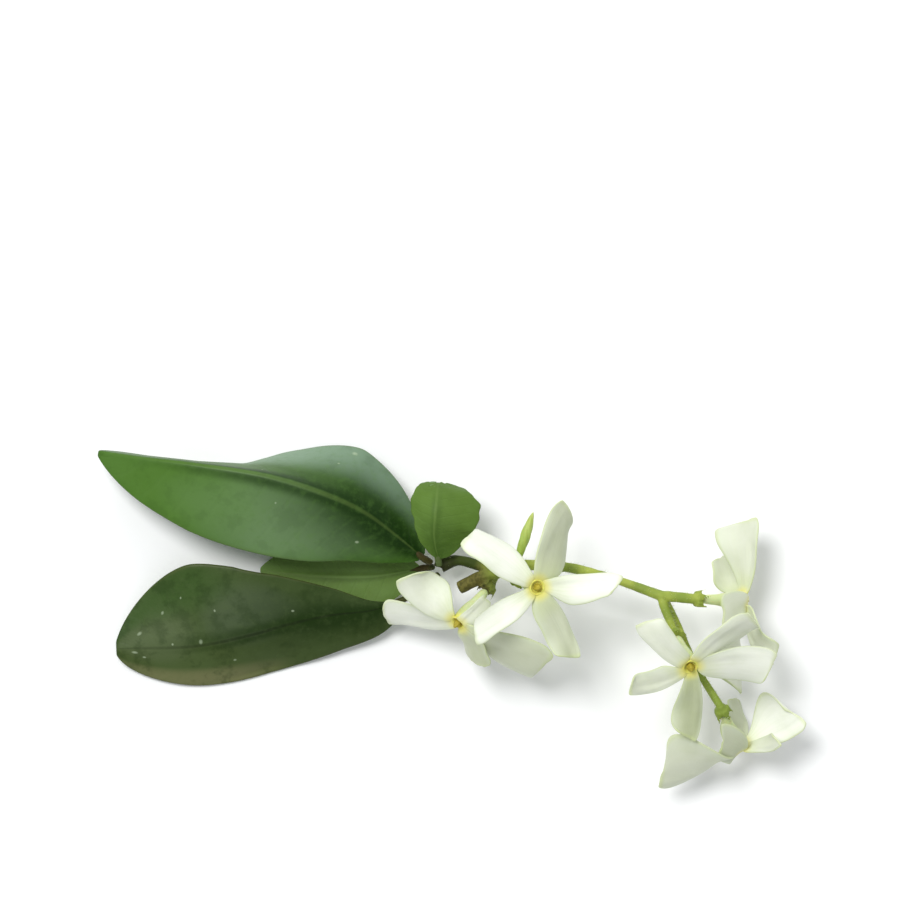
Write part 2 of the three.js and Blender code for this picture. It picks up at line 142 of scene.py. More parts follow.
class Finish:  # one material with its nodes
    def __init__(self, name, constants):
        self.material = bpy.data.materials.new(name)
        self.material.use_nodes = True
        self.tree = self.material.node_tree
        self.shader = self.tree.nodes["Principled BSDF"]
        for socket, value in constants.items():
            self.shader.inputs[socket].default_value = value

    def add(self, kind, settings=None, inputs=None, out=0):
        node = self.tree.nodes.new(kind)
        for name, value in (settings or {}).items():
            setattr(node, name, value)
        for name, value in (inputs or {}).items():
            self.feed(node.inputs[name], value)
        return Wire(self, node.outputs[out])

    def feed(self, socket, value):
        if isinstance(value, Wire):
            self.tree.links.new(value.socket, socket)
        else:
            socket.default_value = value

    def place(self):
        return self.add("ShaderNodeTexCoord", out="Object")

    def alongAcross(self):  # 0 to 1 from root to tip, and -1 to 1 from edge to edge
        flat = self.add("ShaderNodeTexCoord", out="UV")
        along, across = [self.add("ShaderNodeSeparateXYZ", None, {0: flat}, out=i) for i in (0, 1)]
        return along, across * 2.0 - 1.0

    def speckle(self, scale, detail=3.0, roughness=0.55):  # a scale of 1000 has grains of 1 mm
        return self.add("ShaderNodeTexNoise", None, {"Vector": self.place(), "Scale": scale,
                                                     "Detail": detail, "Roughness": roughness})

    def blend(self, share, first, second):
        return self.add("ShaderNodeMix", {"data_type": "RGBA"}, {0: share, 6: first, 7: second}, out=2)

    def away(self, point):  # distance in mm from a place on the drawing
        measured = self.add("ShaderNodeVectorMath", {"operation": "DISTANCE"},
                            {0: self.place(), 1: spot(*point)}, out="Value")
        return measured * 1000.0

    def bump(self, height, strength, distance):
        return self.add("ShaderNodeBump", None,
                        {"Strength": strength, "Distance": distance, "Height": height})

    def finished(self, color, roughness, normal=None):
        self.feed(self.shader.inputs["Base Color"], color)
        self.feed(self.shader.inputs["Roughness"], roughness)
        if normal is not None:
            self.feed(self.shader.inputs["Normal"], normal)
        return self.material


def tone(red, green, blue):
    return (red, green, blue, 1.0)


def blade(bm, surface, steps, across, paintedShade=0.0):
    # a flat grid is laid on surface(t, s), and keeps t and s as its map
    layer = bm.loops.layers.uv.verify()
    shades = bm.verts.layers.float.get("paintedShade") or bm.verts.layers.float.new("paintedShade")
    made = bmesh.ops.create_grid(bm, x_segments=steps, y_segments=across, size=1.0)["verts"]
    mapped = {vert: ((vert.co.x + 1) / 2, vert.co.y) for vert in made}
    for face in {face for vert in made for face in vert.link_faces}:
        for loop in face.loops:
            t, s = mapped[loop.vert]
            loop[layer].uv = (t, (s + 1) / 2)
    for vert, (t, s) in mapped.items():
        vert.co = surface(t, s)
        vert[shades] = paintedShade
    return made


def stalk(bm, points, radii, steps, sides, bumps):
    # one ring is extruded along the path, ring by ring, and closed at both ends
    path = SmoothPath(points)
    turn = path.ahead(0).to_track_quat("Z", "Y")
    ring = bmesh.ops.create_circle(bm, segments=sides, radius=1.0)["verts"]
    edges = list({edge for vert in ring for edge in vert.link_edges})
    firstEdges = edges
    before = Matrix.Identity(4)
    for i in range(steps + 1):
        t = i / steps
        ahead = path.ahead(t)
        turn = (turn @ Vector((0, 0, 1))).rotation_difference(ahead) @ turn
        radius = alongList(radii, t) * (1 + bumps * noise.noise(path.at(t) * 0.9))
        now = Matrix.LocRotScale(path.at(t), turn, Vector((radius, radius, radius)))
        if i > 0:
            grown = bmesh.ops.extrude_edge_only(bm, edges=edges)["geom"]
            ring = [item for item in grown if isinstance(item, bmesh.types.BMVert)]
            edges = [item for item in grown if isinstance(item, bmesh.types.BMEdge)]
        bmesh.ops.transform(bm, verts=ring, matrix=now @ before.inverted())
        before = now
    bmesh.ops.holes_fill(bm, edges=firstEdges + edges, sides=0)


def turned(bm, profile, steps, matrix, slot=0):
    # profile is (radius, height) pairs, spun round the piece's own +Z
    earlier = set(bm.verts)
    chain = [bm.verts.new((radius, 0.0, height)) for radius, height in profile]
    edges = [bm.edges.new(pair) for pair in zip(chain, chain[1:])]
    bmesh.ops.spin(bm, geom=chain + edges, cent=(0, 0, 0), axis=(0, 0, 1), dvec=(0, 0, 0),
                   angle=2 * math.pi, steps=steps, use_merge=True)
    made = [vert for vert in bm.verts if vert not in earlier]
    for face in {face for vert in made for face in vert.link_faces}:
        face.material_index = slot
    bmesh.ops.transform(bm, verts=made, matrix=matrix)


def standing(base, axis):  # stands a piece on base, with its own +Z along axis
    axis = Vector(axis).normalized()
    sideways = Vector((-axis.y, axis.x, 0)).normalized()
    upward = axis.cross(sideways)
    turn = Matrix((sideways, upward, axis)).transposed().to_4x4()
    return Matrix.Translation(Vector(base)) @ turn


def finishedPiece(name, bm, materials, nodes, slotName, modifiers=(), recalculate=True):
    # the mesh was drawn in mm, and is stored in metres in the frame
    bmesh.ops.remove_doubles(bm, verts=bm.verts[:], dist=0.002)
    if recalculate:
        bmesh.ops.recalc_face_normals(bm, faces=bm.faces[:])
    bmesh.ops.transform(bm, verts=bm.verts[:], matrix=Matrix.Scale(mm, 4) @ Matrix.Translation(sprigShift))
    for face in bm.faces:
        face.smooth = True
    mesh = bpy.data.meshes.new(name)
    bm.to_mesh(mesh)
    bm.free()
    piece = bpy.data.objects.new(name, mesh)
    bpy.context.scene.collection.objects.link(piece)
    for material in materials:
        mesh.materials.append(material)
    for kind, settings in modifiers:
        modifier = piece.modifiers.new(kind.title(), kind)
        for setting, value in settings.items():
            setattr(modifier, setting, value)
    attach(piece, "root")
    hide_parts(*nodes)


rounded = [("SUBSURF", {"levels": 1, "render_levels": 1})]


def sheet(thickness, underside=0):
    # modifiers that give a blade its thickness and round its edges
    return [("SOLIDIFY", {"thickness": thickness * mm, "offset": 0.0, "material_offset": underside,
                          "use_even_offset": False}),
            ("SUBSURF", {"levels": 1, "render_levels": 1, "boundary_smooth": "PRESERVE_CORNERS"})]


# the tones and shares of a leaf's markings and of the light and shade painted on it; patches lie along 0 to
# 1 and across -1 to 1, and a speck has its place along and across and its radius in mm
greenLook = {
    "lowerHalf": tone(0.052, 0.132, 0.012), "upperHalf": tone(0.05, 0.12, 0.018),
    "cloud": tone(0.078, 0.17, 0.03), "mottled": 0.12,
    # the dark tone is painted shade at the root and beside the midrib, and also the leaf's own dark mottles
    "dark": tone(0.005, 0.024, 0.0002), "paintedShadeUntil": 0.64, "paintedShadeShare": 1.0,
    "vein": tone(0.1, 0.18, 0.05), "veinShare": 0.04, "veins": 11.0, "relief": 0.25,
    "midrib": tone(0.1, 0.155, 0.035), "midribShare": 0.3, "grooveShadeShare": 0.7,
    "margin": tone(0.1, 0.17, 0.03), "marginShare": 0.3,
    "rough": 0.38, "coat": 0.03, "length": 58.0, "width": 13.0,
    "dust": 0.55, "dustTone": tone(0.42, 0.5, 0.34),
    "specks": [(0.3, 0.85, 0.5), (0.183, -0.55, 0.45), (0.33, 0.6, 0.25), (0.46, -0.3, 0.22),
               (0.52, 0.15, 0.2)],
    "under": tone(0.15, 0.25, 0.09), "underCloud": tone(0.19, 0.29, 0.12),
    "petiole": tone(0.048, 0.038, 0.01), "petioleCloud": tone(0.042, 0.055, 0.011),
    "paintedLightAndTonePatches": [
        # painted reflection: a pale blue-grey sheen on the upper half
        {"along": 0.34, "across": 0.85, "length": 0.34, "width": 0.55, "share": 0.95,
         "tone": tone(0.2, 0.3, 0.2)},
        # painted sheen: a paler green on the lower half
        {"along": 0.42, "across": -0.55, "length": 0.38, "width": 0.65, "share": 0.85,
         "tone": tone(0.135, 0.22, 0.1)},
        {"along": 0.75, "across": -0.5, "length": 0.3, "width": 0.6, "share": 0.5,
         "tone": tone(0.085, 0.185, 0.03)},
    ],
}
darkLook = {
    **greenLook,
    "lowerHalf": tone(0.052, 0.079, 0.019), "upperHalf": tone(0.042, 0.07, 0.016),
    "cloud": tone(0.062, 0.096, 0.028), "mottled": 0.36,
    "dark": tone(0.009, 0.026, 0.0005), "paintedShadeUntil": 0.8,
    "vein": tone(0.05, 0.08, 0.02), "veinShare": 0.02, "relief": 0.1,
    # this leaf's midrib tone is near black: painted shade in the crease of its fold
    "midrib": tone(0.006, 0.014, 0.001), "midribShare": 0.75, "margin": tone(0.09, 0.09, 0.025),
    "length": 45.0, "width": 10.0,
    "specks": [(0.833, 0.5, 0.3), (0.917, 0.3, 0.45), (0.933, -0.15, 0.6), (0.9, -0.3, 0.35),
               (0.367, 0.25, 0.28), (0.7, 0.05, 0.38), (0.6, -0.45, 0.3), (0.8, 0.05, 0.2),
               (0.63, 0.4, 0.2), (0.76, 0.62, 0.2)],
    "paintedLightAndTonePatches": [
        # painted sheen: a bluish grey on the upper half
        {"along": 0.5, "across": 0.3, "length": 0.2, "width": 0.55, "share": 0.5,
         "tone": tone(0.08, 0.105, 0.065)},
        {"along": 0.72, "across": -0.85, "length": 0.3, "width": 0.35, "share": 0.9,
         "tone": tone(0.15, 0.155, 0.065)},
        # painted shade: a dark crease along the midrib near the root
        {"along": 0.26, "across": 0.0, "length": 0.22, "width": 0.35, "share": 0.85,
         "tone": tone(0.008, 0.02, 0.001)},
        {"along": 0.86, "across": 0.1, "length": 0.16, "width": 0.6, "share": 0.6,
         "tone": tone(0.09, 0.12, 0.052)},
        {"along": 0.8, "across": 0.75, "length": 0.3, "width": 0.4, "share": 0.6,
         "tone": tone(0.03, 0.075, 0.01)},
    ],
}
behindLook = {
    **greenLook,
    "lowerHalf": tone(0.12, 0.2, 0.04), "upperHalf": tone(0.135, 0.235, 0.05),
    "cloud": tone(0.15, 0.25, 0.07), "dark": tone(0.07, 0.13, 0.02), "paintedShadeShare": 0.3,
    "midrib": tone(0.16, 0.25, 0.07), "midribShare": 0.25, "margin": tone(0.3, 0.38, 0.06),
    "dust": 0.0, "coat": 0.0, "rough": 0.45, "paintedLightAndTonePatches": [], "specks": [],
}
youngLook = {
    **greenLook,
    "lowerHalf": tone(0.085, 0.16, 0.02), "upperHalf": tone(0.078, 0.148, 0.018),
    "cloud": tone(0.105, 0.19, 0.038), "dark": tone(0.03, 0.07, 0.006), "paintedShadeShare": 0.6,
    "midrib": tone(0.13, 0.2, 0.05), "midribShare": 0.35, "grooveShadeShare": 0.3,
    "margin": tone(0.12, 0.18, 0.03), "dust": 0.0, "coat": 0.0, "rough": 0.48,
    "paintedLightAndTonePatches": [], "specks": [],
    "petiole": tone(0.07, 0.1, 0.028), "petioleCloud": tone(0.09, 0.13, 0.042),
}

# mm and degrees; fold turns each half of the blade up or down along its length
leafUpper = {
    "petiole": [(-3.1, 8.3, 6.6)],
    "rib": [(-4.6, 9.2, 7.6), (-7.9, 12, 9.2), (-13.7, 16.3, 11.2), (-20, 19.2, 12.4),
            (-28.8, 22, 12.6), (-40, 23.8, 11.2), (-48, 24.7, 8.8), (-55.3, 25.7, 5.6)],
    "lower": {"wide": 12.9, "fold": [-6, -12, -14, -12, -10], "arch": -1},
    "upper": {"wide": 13.6, "fold": [-28, -36, -36, -62, -82, -86, -86, -84], "arch": -1},
    "look": greenLook, "node": "leaf_upper", "slot": "leaf",
}
leafLower = {
    "petiole": [(-1.9, 6.7, 5.8), (-4.8, 3.8, 4.8)],
    "rib": [(-8, 2.4, 4.2), (-12.4, 1, 4.4), (-19, 0.2, 4.7), (-25.2, -1.2, 4.8),
            (-31.4, -3, 4.6), (-40, -4.8, 3.8), (-52.6, -5.2, 1.6)],
    "lower": {"wide": 8.2, "fold": [-20, -32, -18], "arch": -0.8, "sharpness": 0.5},
    "upper": {"wide": 13, "fold": [8, 6, -2], "arch": 0.6, "belly": 1.9, "sharpness": 0.7},
    "look": darkLook, "node": "leaf_lower", "slot": "leaf_dark",
}
leafBehind = {
    "petiole": [(-2.7, 7.7, 5.1)],
    "rib": [(-4.8, 7.4, 3.6), (-12, 6.2, 2.2), (-21, 6.2, 1.6), (-30, 7.2, 0.9)],
    "lower": {"wide": 6, "fold": [-6, -4, -3]},
    "upper": {"wide": 6.5, "fold": [6, 4, 2]},
    "look": behindLook, "node": "leaf_behind", "slot": "leaf",
}
leafSmall = {
    "petiole": [(-1.9, 7.9, 8.15)],
    "rib": [(-2.1, 8.9, 8.6), (-2.6, 11, 10.1), (-2.8, 13.2, 11.3), (-2.6, 15.6, 12.3),
            (-2.4, 17.8, 12), (-2.2, 19.8, 10.4), (-2, 21, 7.8)],
    "lower": {"wide": 4.3, "fold": [-10, -24, -16], "arch": -0.4, "belly": 1.65, "sharpness": 0.6},
    "upper": {"wide": 7.3, "fold": [-4, -12, -10], "arch": -0.4, "belly": 1.15, "sharpness": 0.42},
    "look": youngLook, "node": "leaf_small", "slot": "leaf",
    "ragged": 0.16, "notched": (0.18, 0.05),  # its top is uneven, more so in the left half
}
leafMake = {
    "thickness": 0.5, "steps": 64, "across": 28, "floor": 0.3,
    "groove": 0.12, "grooveWidth": 0.06, "quilt": 0.012, "wave": 0.25,
    "veinSlant": 1.15, "veinWander": 0.25,
    "petioleRadii": [0.5, 0.56, 0.5, 0.34], "petioleSteps": 18, "petioleSides": 14,
    "petioleBumps": 0.12, "petioleSink": 0.35,
}


def sideVeins(along, edge, cloud, look):  # 0 to 1 from one side vein to the next
    slant = along * look["veins"] - edge * leafMake["veinSlant"] + cloud * leafMake["veinWander"]
    return slant.fraction()


def leafFinish(name, look):
    finish = Finish(name, {"Coat Weight": look["coat"], "Coat Roughness": 0.22, "Specular IOR Level": 0.14})
    along, across = finish.alongAcross()
    edge = across.size()
    cloud = finish.speckle(110.0)
    mottle = finish.speckle(300.0, 4.0, 0.6)
    fine = finish.speckle(900.0, 4.0, 0.6)
    pores = finish.speckle(2600.0, 2.0)
    # the two halves get their own tones: partly the leaf's own colour, partly painted light and shade from
    # how each half faced the light
    upperHalf = across.ramp(-0.02, 0.05)
    color = finish.blend(upperHalf, look["lowerHalf"], look["upperHalf"])
    color = finish.blend(cloud.ramp(0.38, 0.7) * 0.55, color, look["cloud"])
    color = finish.blend(mottle.ramp(0.45, 0.62) * look["mottled"], color, look["cloud"])
    # patches are partly the leaf's own tones and partly painted light: painted sheen and reflection, and a
    # painted dark crease
    for patch in look["paintedLightAndTonePatches"]:
        x = (along - patch["along"]) * (1.0 / patch["length"])
        y = (across - patch["across"]) * (1.0 / patch["width"])
        inside = 1.0 - (x * x + y * y + cloud * 0.6).ramp(0.3, 1.5)
        color = finish.blend(inside * patch["share"], color, patch["tone"])
    # painted shade: the root of the blade is darkened, most of all beside the midrib, where the fold shades
    # it
    nearRoot = 1.0 - (along + edge * 0.12).ramp(look["paintedShadeUntil"] * 0.25, look["paintedShadeUntil"])
    nearMiddle = 1.0 - edge.ramp(0.15, 0.9)
    color = finish.blend(nearRoot * (0.4 + nearMiddle * 0.58) * look["paintedShadeShare"], color, look["dark"])
    # side veins leave the midrib slanting towards the tip, and fade before the margin
    vein = 1.0 - (sideVeins(along, edge, cloud, look) - 0.5).size().ramp(0.02, 0.11)
    vein = vein * (1.0 - edge.ramp(0.72, 0.95)) * edge.ramp(0.03, 0.15)
    color = finish.blend(vein * look["veinShare"], color, look["vein"])
    # painted shade: dark bands on both sides of the midrib, along the root half
    grooveShade = edge.ramp(0.02, 0.05) * (1.0 - edge.ramp(0.07, 0.2)) * (1.0 - along.ramp(0.5, 0.95))
    color = finish.blend(grooveShade * look["grooveShadeShare"], color, look["dark"])
    midrib = (1.0 - edge.ramp(0.008, 0.05)) * (1.0 - along.ramp(0.5, 1.0) * 0.6)
    color = finish.blend(midrib * look["midribShare"], color, look["midrib"])
    color = finish.blend(edge.ramp(0.93, 1.0) * look["marginShare"], color, look["margin"])
    color = finish.blend((1.0 - mottle.ramp(0.36, 0.5)) * look["mottled"], color, look["dark"])
    color = finish.blend(fine.ramp(0.45, 0.75) * 0.22, color, look["cloud"])
    # pale specks of dried rain
    speck = 0.0
    for t, s, size in look["specks"]:
        x = (along - t) * (look["length"] / size)
        y = (across - s) * (look["width"] / size)
        speck = speck + (1.0 - (x * x + y * y + fine * 1.2).ramp(0.3, 1.7))
    color = finish.blend(speck * look["dust"], color, look["dustTone"])
    height = pores * 0.2 + fine * 0.25 - vein * look["relief"] + cloud * 0.9 + speck * 0.4
    roughness = look["rough"] + fine * 0.14 + speck * 0.3 - midrib * 0.05
    return finish.finished(color, roughness, finish.bump(height, 0.35, 0.00025))


def undersideFinish(name, look):
    finish = Finish(name, {"Specular IOR Level": 0.35})
    along, across = finish.alongAcross()
    edge = across.size()
    cloud = finish.speckle(160.0)
    vein = 1.0 - (sideVeins(along, edge, cloud, look) - 0.5).size().ramp(0.02, 0.12)
    vein = vein * (1.0 - edge.ramp(0.75, 0.95))
    midrib = 1.0 - edge.ramp(0.02, 0.06)
    color = finish.blend(cloud.ramp(0.35, 0.7), look["under"], look["underCloud"])
    color = finish.blend(vein * 0.4, color, look["midrib"])
    color = finish.blend(midrib * 0.8, color, look["midrib"])
    height = vein * 0.6 + midrib * 1.4 + cloud * 0.5
    return finish.finished(color, 0.62 + cloud * 0.1, finish.bump(height, 0.5, 0.0003))


def petioleFinish(name, look):
    finish = Finish(name, {"Specular IOR Level": 0.15})
    cloud = finish.speckle(420.0)
    color = finish.blend(cloud.ramp(0.35, 0.68), look["petiole"], look["petioleCloud"])
    return finish.finished(color, 0.5, finish.bump(cloud, 0.4, 0.0002))


def leafSurface(leaf):
    curve = SmoothPath(leaf["rib"])
    veins = leaf["look"]["veins"]

    def surface(t, s):
        half = leaf["lower"] if s < 0 else leaf["upper"]
        edge = abs(s)
        notched = mix(*leaf.get("notched", (0, 0)), clamped(0.5 + 1.5 * s))
        notch = notched * t ** 3 * (0.5 + 0.7 * noise.noise(Vector((s * 4.2, 1.7, 5.5))))
        middle = curve.at(t * (1 - notch))
        ahead = curve.ahead(t)
        level = Vector((-ahead.y, ahead.x, 0)).normalized()
        # belly moves the widest place along the leaf, and a low sharpness blunts its ends
        outline = math.sin(math.pi * (0.006 + 0.99 * t) ** half.get("belly", 1))
        outline = outline ** half.get("sharpness", 0.75)
        ragged = 1 + leaf.get("ragged", 0) * noise.noise(Vector((t * 9, 3.1 if s < 0 else 7.3, 0.4)))
        q = edge * half["wide"] * outline * ragged
        fold = math.radians(alongList(half["fold"], t))
        arch = half.get("arch", 0) * (q / half["wide"]) ** 2
        wave = leafMake["wave"] * s * s * math.sin(14 * t + 3 * s) * outline
        # the midrib is a shallow groove, and the blade swells a little between its side veins
        groove = -leafMake["groove"] * math.exp(-(edge / leafMake["grooveWidth"]) ** 2) * outline
        slant = (t * veins - edge * leafMake["veinSlant"]) % 1.0
        swell = math.cos(2 * math.pi * (slant - 0.5)) * -0.5
        quilt = leafMake["quilt"] * swell * math.sin(math.pi * edge) * outline
        sideways = q * math.cos(fold) - arch * math.sin(fold)
        place = middle + level * (sideways if s < 0 else -sideways)
        place.z += q * math.sin(fold) + arch * math.cos(fold) + wave + (groove + quilt) * math.cos(fold)
        place.z = max(place.z, leafMake["floor"])
        return place

    return surface


def makeLeaf(name, leaf):
    look = leaf["look"]
    bm = bmesh.new()
    blade(bm, leafSurface(leaf), leafMake["steps"], leafMake["across"])
    bmesh.ops.recalc_face_normals(bm, faces=bm.faces[:])
    upwards = sum(face.normal.z * face.calc_area() for face in bm.faces)
    if upwards < 0:
        bmesh.ops.reverse_faces(bm, faces=bm.faces[:])
    materials = [leafFinish(name + "Face", look), undersideFinish(name + "Underside", look)]
    finishedPiece(name, bm, materials, [leaf["node"]], leaf["slot"],
                  sheet(leafMake["thickness"], underside=1), recalculate=False)

    # the petiole runs on under the foot of the midrib
    bm = bmesh.new()
    foot, onward = [Vector(p) for p in leaf["rib"][:2]]
    path = leaf["petiole"] + [foot, foot.lerp(onward, 0.45) - Vector((0, 0, leafMake["petioleSink"]))]
    stalk(bm, path, leafMake["petioleRadii"], leafMake["petioleSteps"], leafMake["petioleSides"],
          leafMake["petioleBumps"])
    finishedPiece(name + "Stalk", bm, [petioleFinish(name + "StalkSkin", look)], [leaf["node"]],
                  leaf["slot"], rounded)


for name, leaf in (("leafUpper", leafUpper), ("leafLower", leafLower),
                   ("leafBehind", leafBehind), ("leafSmall", leafSmall)):
    makeLeaf(name, leaf)
print("leaves made")


# mm; shoulder is the widest of a petal's rounded side and straight of its other side
flowerMake = {
    "tube": 8.0, "gap": 0.3, "mouth": 0.92, "thickness": 0.34, "steps": 22, "across": 12, "floor": 0.2,
    "shoulder": 4.8, "straight": 2.1, "rootShoulder": 1.0, "rootStraight": 0.9, "open": 0.7,
    "blunt": 0.34, "bluntFrom": 0.84, "tipSlant": 0.11, "tipRound": 0.05, "twistPace": 1.25,
    "curl": 0.07, "ripple": 0.35, "crinkle": 0.22, "fold": 0.16,
    "channel": 0.3, "channelPlace": -0.1, "channelWidth": 0.28,
    "seat": 0.3, "dip": 0.45, "dipUntil": 0.05,
    "tubeProfile": [(0.0, 0.1), (0.5, 0.12), (0.6, 0.8), (0.66, 2.6), (0.88, 3.6), (1.06, 4.6),
                    (1.1, 5.7), (1.02, 6.6), (0.98, 7.1), (1.06, 7.36), (1.3, 7.5)],
    "throatFloor": [(0.0, 6.84), (0.5, 6.84), (0.95, 6.9)], "spins": 30,
}
# turn and reach place a petal's tip, drop and bend curve it down and aside, pitch twists it, wide, peak,
# taper and grow give its rounded side, and the shade figure is how much painted shade, a green-grey tint,
# lies on it
flowers = {
    "centre": {"throat": (13.5, 4.6, 21.3), "axis": (3, -1.2, 7.3), "petals": [
        {"turn": 74, "reach": 14, "drop": -4.9, "pitch": 0.82, "bend": 0.1,
         "wide": 1.47, "peak": 0.76, "taper": 0.26, "grow": 1.8, "paintedShade": 0.08},
        {"turn": 10, "reach": 14.5, "drop": -4.3, "pitch": 0.43, "bend": -3.9,
         "wide": 1.13, "peak": 0.31, "taper": 0.6, "grow": 0.68, "paintedShade": 0.8},
        {"turn": 300, "reach": 14, "drop": 3.3, "pitch": -0.79, "bend": -0.8,
         "wide": 0.72, "peak": 0.36, "taper": 0.6, "grow": 1.46, "paintedShade": 0.05},
        {"turn": 242, "reach": 13.4, "drop": 1.5, "pitch": -0.29, "bend": -2.8,
         "wide": 0.69, "peak": 0.3, "taper": 0.35, "grow": 0.42, "paintedShade": 0.75},
        {"turn": 153, "reach": 13.2, "drop": -3.9, "pitch": 1.13, "bend": 0.3,
         "wide": 0.9, "peak": 0.85, "taper": 0.13, "grow": 1.39, "paintedShade": 0.1}]},
    "lower": {"throat": (0.7, -1.3, 13.2), "axis": (-0.6, -0.68, 0.5), "petals": [
        {"turn": 245, "reach": 13.9, "drop": 2.6, "pitch": -0.34, "bend": -3.8,
         "wide": 0.89, "peak": 0.63, "taper": 0.08, "grow": 1.03, "paintedShade": 0.08},
        {"turn": 194, "reach": 11.5, "drop": 0.6, "pitch": 1.45, "bend": -4,
         "wide": 1.01, "peak": 0.74, "taper": 0.44, "grow": 0.7, "paintedShade": 0.3},
        {"turn": 23, "reach": 16.3, "drop": -3.6, "pitch": -0.29, "bend": -2.7,
         "wide": 1.47, "peak": 0.92, "taper": 0, "grow": 0.4, "paintedShade": 0.75},
        {"turn": 346, "reach": 8.5, "drop": 1.4, "pitch": 0.01, "bend": -0.5,
         "wide": 1.09, "peak": 0.62, "taper": 0, "grow": 0.81, "paintedShade": 0.9},
        {"turn": 80, "reach": 4.4, "drop": -4.6, "pitch": 0.1, "bend": 0,
         "wide": 0.42, "peak": 0.6, "taper": 0.35, "grow": 1, "paintedShade": 0.3}]},
    "right": {"throat": (37.2, -8, 19.4), "axis": (0.257, -0.59, 0.77), "petals": [
        {"turn": 123, "reach": 11.5, "drop": -3.3, "pitch": -0.2, "bend": -1.7,
         "wide": 0.64, "peak": 1, "taper": 0.42, "grow": 0.41, "paintedShade": 0.3},
        {"turn": 36, "reach": 12.4, "drop": -1.6, "pitch": 0.22, "bend": -4.9,
         "wide": 1.1, "peak": 1, "taper": 0.52, "grow": 1.31, "paintedShade": 0.35},
        {"turn": 352, "reach": 14.2, "drop": 1.6, "pitch": -0.27, "bend": -2.6,
         "wide": 0.95, "peak": 0.64, "taper": 0.25, "grow": 0.4, "paintedShade": 0.12},
        {"turn": 262, "reach": 12.9, "drop": 2.6, "pitch": 0.21, "bend": -3,
         "wide": 0.66, "peak": 0.75, "taper": 0.51, "grow": 1.05, "paintedShade": 1.0},
        {"turn": 193, "reach": 10.4, "drop": 1.3, "pitch": 0.28, "bend": -4.3,
         "wide": 0.56, "peak": 0.31, "taper": 0.58, "grow": 1.39, "paintedShade": 0.45}]},
    "top": {"throat": (46, 2.4, 7.9), "axis": (0.865, -0.04, -0.5), "petals": [
        {"turn": 10, "reach": 13.9, "drop": 0.1, "pitch": 0.16, "bend": -2.2,
         "wide": 1.24, "peak": 1, "taper": 0.25, "grow": 0.9, "paintedShade": 0.45},
        {"turn": 319, "reach": 10.7, "drop": 0.4, "pitch": 1.49, "bend": -0.4,
         "wide": 0.77, "peak": 0.43, "taper": 0, "grow": 1.8, "paintedShade": 0.65},
        {"turn": 201, "reach": 15, "drop": 0.2, "pitch": 1.04, "bend": -4.6,
         "wide": 1.11, "peak": 0.7, "taper": 0.08, "grow": 0.48, "paintedShade": 0.5},
        {"turn": 162, "reach": 11.3, "drop": 2.4, "pitch": 0.11, "bend": -2.9,
         "wide": 0.85, "peak": 0.32, "taper": 0.19, "grow": 0.63, "paintedShade": 0.4},
        {"turn": 106, "reach": 3, "drop": -5, "pitch": 0.15, "bend": 2.6,
         "wide": 0.81, "peak": 0.89, "taper": 0.04, "grow": 1.72, "paintedShade": 0.4}]},
    "bottom": {"throat": (45, -20.8, 6.3), "axis": (0.32, -0.7, -0.64), "petals": [
        {"turn": 160, "reach": 13.9, "drop": -1.6, "pitch": 1.28, "bend": 4,
         "wide": 1.46, "peak": 0.59, "taper": 0.49, "grow": 1.37, "paintedShade": 0.6},
        {"turn": 293, "reach": 9.9, "drop": -2.2, "pitch": 1.26, "bend": -0.8,
         "wide": 0.76, "peak": 0.39, "taper": 0.76, "grow": 0.4, "paintedShade": 0.8},
        {"turn": 1, "reach": 11.8, "drop": -2.6, "pitch": 0.69, "bend": 1.7,
         "wide": 1.2, "peak": 0.66, "taper": 0.75, "grow": 1.74, "paintedShade": 0.0},
        {"turn": 38, "reach": 9.6, "drop": -3.1, "pitch": 0.42, "bend": 1.2,
         "wide": 0.4, "peak": 0.63, "taper": 0.8, "grow": 1.19, "paintedShade": 0.3},
        {"turn": 102, "reach": 3.6, "drop": -4.4, "pitch": 1.11, "bend": 1.7,
         "wide": 1.18, "peak": 0.64, "taper": 0.8, "grow": 1.52, "paintedShade": 0.8}]},
}
petalLook = {
    "white": tone(0.85, 0.87, 0.76), "cool": tone(0.68, 0.73, 0.55), "green": tone(0.4, 0.44, 0.265),
    # the rim tone is painted shade for the petal edges
    "rim": tone(0.6, 0.655, 0.5), "root": tone(0.6, 0.67, 0.33), "streak": tone(0.55, 0.62, 0.36),
    "throat": tone(0.76, 0.7, 0.14), "tube": tone(0.55, 0.62, 0.26), "margin": tone(0.52, 0.6, 0.26),
}
antherMake = {
    "cone": [(0.0, 0.0), (0.4, 0.0), (0.6, 0.12), (0.68, 0.55), (0.6, 0.9), (0.4, 1.25), (0.17, 1.58),
             (0.0, 1.7)],
    "sunk": 1.4, "groove": 0.17, "brown": tone(0.3, 0.24, 0.015), "gold": tone(0.46, 0.38, 0.04),
}


def tubeBase(flower):
    return Vector(flower["throat"]) - Vector(flower["axis"]).normalized() * flowerMake["tube"]


